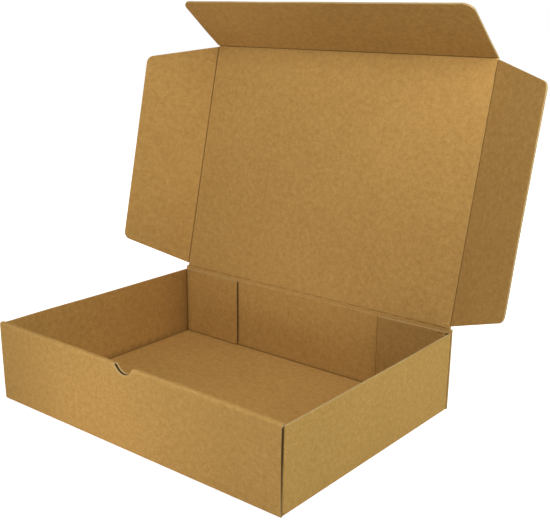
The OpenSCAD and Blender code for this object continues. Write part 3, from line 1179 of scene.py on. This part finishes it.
def seen_directly(tree):
    """1 for the rays that show the stage itself, 0 for those that carry its light to the box."""
    path = tree.nodes.new("ShaderNodeLightPath")
    seen = path.outputs["Is Camera Ray"]
    for name in ("Is Glossy Ray", "Is Transmission Ray"):
        more = tree.nodes.new("ShaderNodeMath")
        more.operation = "MAXIMUM"
        tree.links.new(seen, more.inputs[0])
        tree.links.new(path.outputs[name], more.inputs[1])
        seen = more.outputs[0]
    return seen


def show(tree, light, look, output):
    """Lets the tree's output give the box one shader's light and the camera another shader's look."""
    choice = tree.nodes.new("ShaderNodeMixShader")
    tree.links.new(seen_directly(tree), choice.inputs[0])
    tree.links.new(light.outputs[0], choice.inputs[1])
    tree.links.new(look.outputs[0], choice.inputs[2])
    tree.links.new(choice.outputs[0], tree.nodes[output].inputs[0])


def studio_world():
    world = bpy.data.worlds.new("studio")
    scene.world = world
    world.use_nodes = True
    tree = world.node_tree
    fill = tree.nodes["Background"]
    fill.inputs["Color"].default_value = WHITE
    fill.inputs["Strength"].default_value = WORLD_FILL
    bright = tree.nodes.new("ShaderNodeBackground")
    bright.inputs["Color"].default_value = WHITE
    show(tree, fill, bright, "World Output")


def white_floor():
    paper = bpy.data.materials.new("white_floor")
    paper.use_nodes = True
    tree = paper.node_tree
    matt = tree.nodes["Principled BSDF"]
    matt.inputs["Base Color"].default_value = FLOOR_GREY
    matt.inputs["Roughness"].default_value = 1.0
    matt.inputs["Specular IOR Level"].default_value = 0.0
    glow = tree.nodes.new("ShaderNodeEmission")
    spread = tree.nodes.new("ShaderNodeNewGeometry")
    reach = tree.nodes.new("ShaderNodeVectorMath")
    reach.operation = "LENGTH"
    level = tree.nodes.new("ShaderNodeMapRange")
    level.inputs["From Min"].default_value = GLOW_NEAR
    level.inputs["From Max"].default_value = GLOW_FAR
    level.inputs["To Min"].default_value = GLOW_LOW
    level.inputs["To Max"].default_value = GLOW_HIGH
    tree.links.new(spread.outputs["Position"], reach.inputs[0])
    tree.links.new(reach.outputs["Value"], level.inputs["Value"])
    tree.links.new(level.outputs["Result"], glow.inputs["Strength"])
    total = tree.nodes.new("ShaderNodeAddShader")
    tree.links.new(matt.outputs[0], total.inputs[0])
    tree.links.new(glow.outputs[0], total.inputs[1])
    show(tree, matt, total, "Material Output")
    return paper


studio_world()
floor_mesh = bpy.data.meshes.new("floor")
floor_corners = [(x * FLOOR_HALF, y * FLOOR_HALF, 0) for x, y in ((-1, -1), (1, -1), (1, 1), (-1, 1))]
floor_mesh.from_pydata(floor_corners, [], [(0, 1, 2, 3)])
floor = bpy.data.objects.new("floor", floor_mesh)
floor.location.z = -FLOOR_DROP
scene.collection.objects.link(floor)
floor_mesh.materials.append(white_floor())

# What the soft lamps shine on, the colour of those that light the right side, and the spot lamps' size
CENTRE = (0.0, 0.03, 0.13)
COOL = (0.88, 1.1, 1.0)
SPOT_SIZE = 0.1


def hung(light, place, target, power, colour):
    light.energy = power
    light.color = colour
    made = bpy.data.objects.new(light.name, light)
    made.location = place
    made.rotation_mode = "QUATERNION"
    made.rotation_quaternion = (Vector(target) - Vector(place)).to_track_quat("-Z", "Y")
    scene.collection.objects.link(made)


def lamp(name, place, size, power, colour=(1, 1, 1)):
    """A round soft lamp that shines on the middle of the box."""
    light = bpy.data.lights.new(name, "AREA")
    light.shape = "DISK"
    light.size = size
    hung(light, place, CENTRE, power, colour)


def spot_lamp(name, place, target, cone, power):
    """A lamp that shines on one panel, fading out to the edge of its cone."""
    light = bpy.data.lights.new(name, "SPOT")
    light.spot_size = math.radians(cone)
    light.spot_blend = 1.0
    light.shadow_soft_size = SPOT_SIZE
    hung(light, place, target, power, (1, 1, 1))


lamp("front_high", (0.0, -0.8, 1.1), 0.6, 2.8)
lamp("key", (0.7, -0.8, 1.1), 0.6, 5.2)
lamp("right_high", (0.9, -0.2, 1.1), 0.6, 3.85)
lamp("right_back", (1.1, 0.5, 0.6), 0.5, 2.0, COOL)
lamp("right_low", (0.75, 0.25, 0.3), 0.3, 0.85, COOL)
lamp("back_high", (0.0, 1.3, 1.4), 1.0, 10.3)
lamp("front_low", (0.0, -0.8, 0.15), 0.5, 1.15)
spot_lamp("on_lid", (1.1, -0.5, 0.8), (0.125, 0.18, 0.31), 15, 34)
spot_lamp("on_left_flap", (0.4, -0.7, 0.6), (-0.205, 0.11, 0.19), 18, 4.4)
spot_lamp("on_tuck", (-0.1, -0.7, 0.05), (-0.12, 0.115, 0.33), 16, 6.9)
spot_lamp("on_tuck_middle", (0.05, -0.8, 0.02), (-0.05, 0.1, 0.335), 12, 3.1)
spot_lamp("on_front", (-0.1, -0.8, 0.12), (-0.04, -0.12, 0.024), 18, 8.9)
spot_lamp("on_bottom", (0.35, -0.4, 0.9), (0.0, 0.03, 0.0), 20, 6.2)

# The camera, fitted to the photograph: angles, metres, and pixels of its frame
AZIMUTH = math.radians(39.368)
ELEVATION = math.radians(17.588)
ROLL = math.radians(0.355)
DISTANCE = 0.797624
TARGET = Vector((0.026693, 0.022144, 0.104671))
IMAGE_W = 550
IMAGE_H = 529
FOCAL = 915.96
CENTRE_X = 263.518
CENTRE_Y = 293.407
SENSOR = 36.0

level_back = Vector((math.sin(AZIMUTH), -math.cos(AZIMUTH), 0))
back = level_back * math.cos(ELEVATION) + Vector((0, 0, math.sin(ELEVATION)))
level_right = Vector((math.cos(AZIMUTH), math.sin(AZIMUTH), 0))
level_up = back.cross(level_right)
right = level_right * math.cos(ROLL) + level_up * math.sin(ROLL)
up = level_up * math.cos(ROLL) - level_right * math.sin(ROLL)
lens = bpy.data.cameras.new("camera")
lens.sensor_fit = "HORIZONTAL"
lens.sensor_width = SENSOR
lens.lens = FOCAL / IMAGE_W * SENSOR
lens.shift_x = (IMAGE_W / 2 - CENTRE_X) / IMAGE_W
lens.shift_y = (CENTRE_Y - IMAGE_H / 2) / IMAGE_W
camera = bpy.data.objects.new("camera", lens)
place = Matrix((right, up, back)).transposed().to_4x4()
place.translation = TARGET + back * DISTANCE
camera.matrix_world = place
scene.collection.objects.link(camera)
scene.camera = camera
scene.view_settings.view_transform = "Standard"
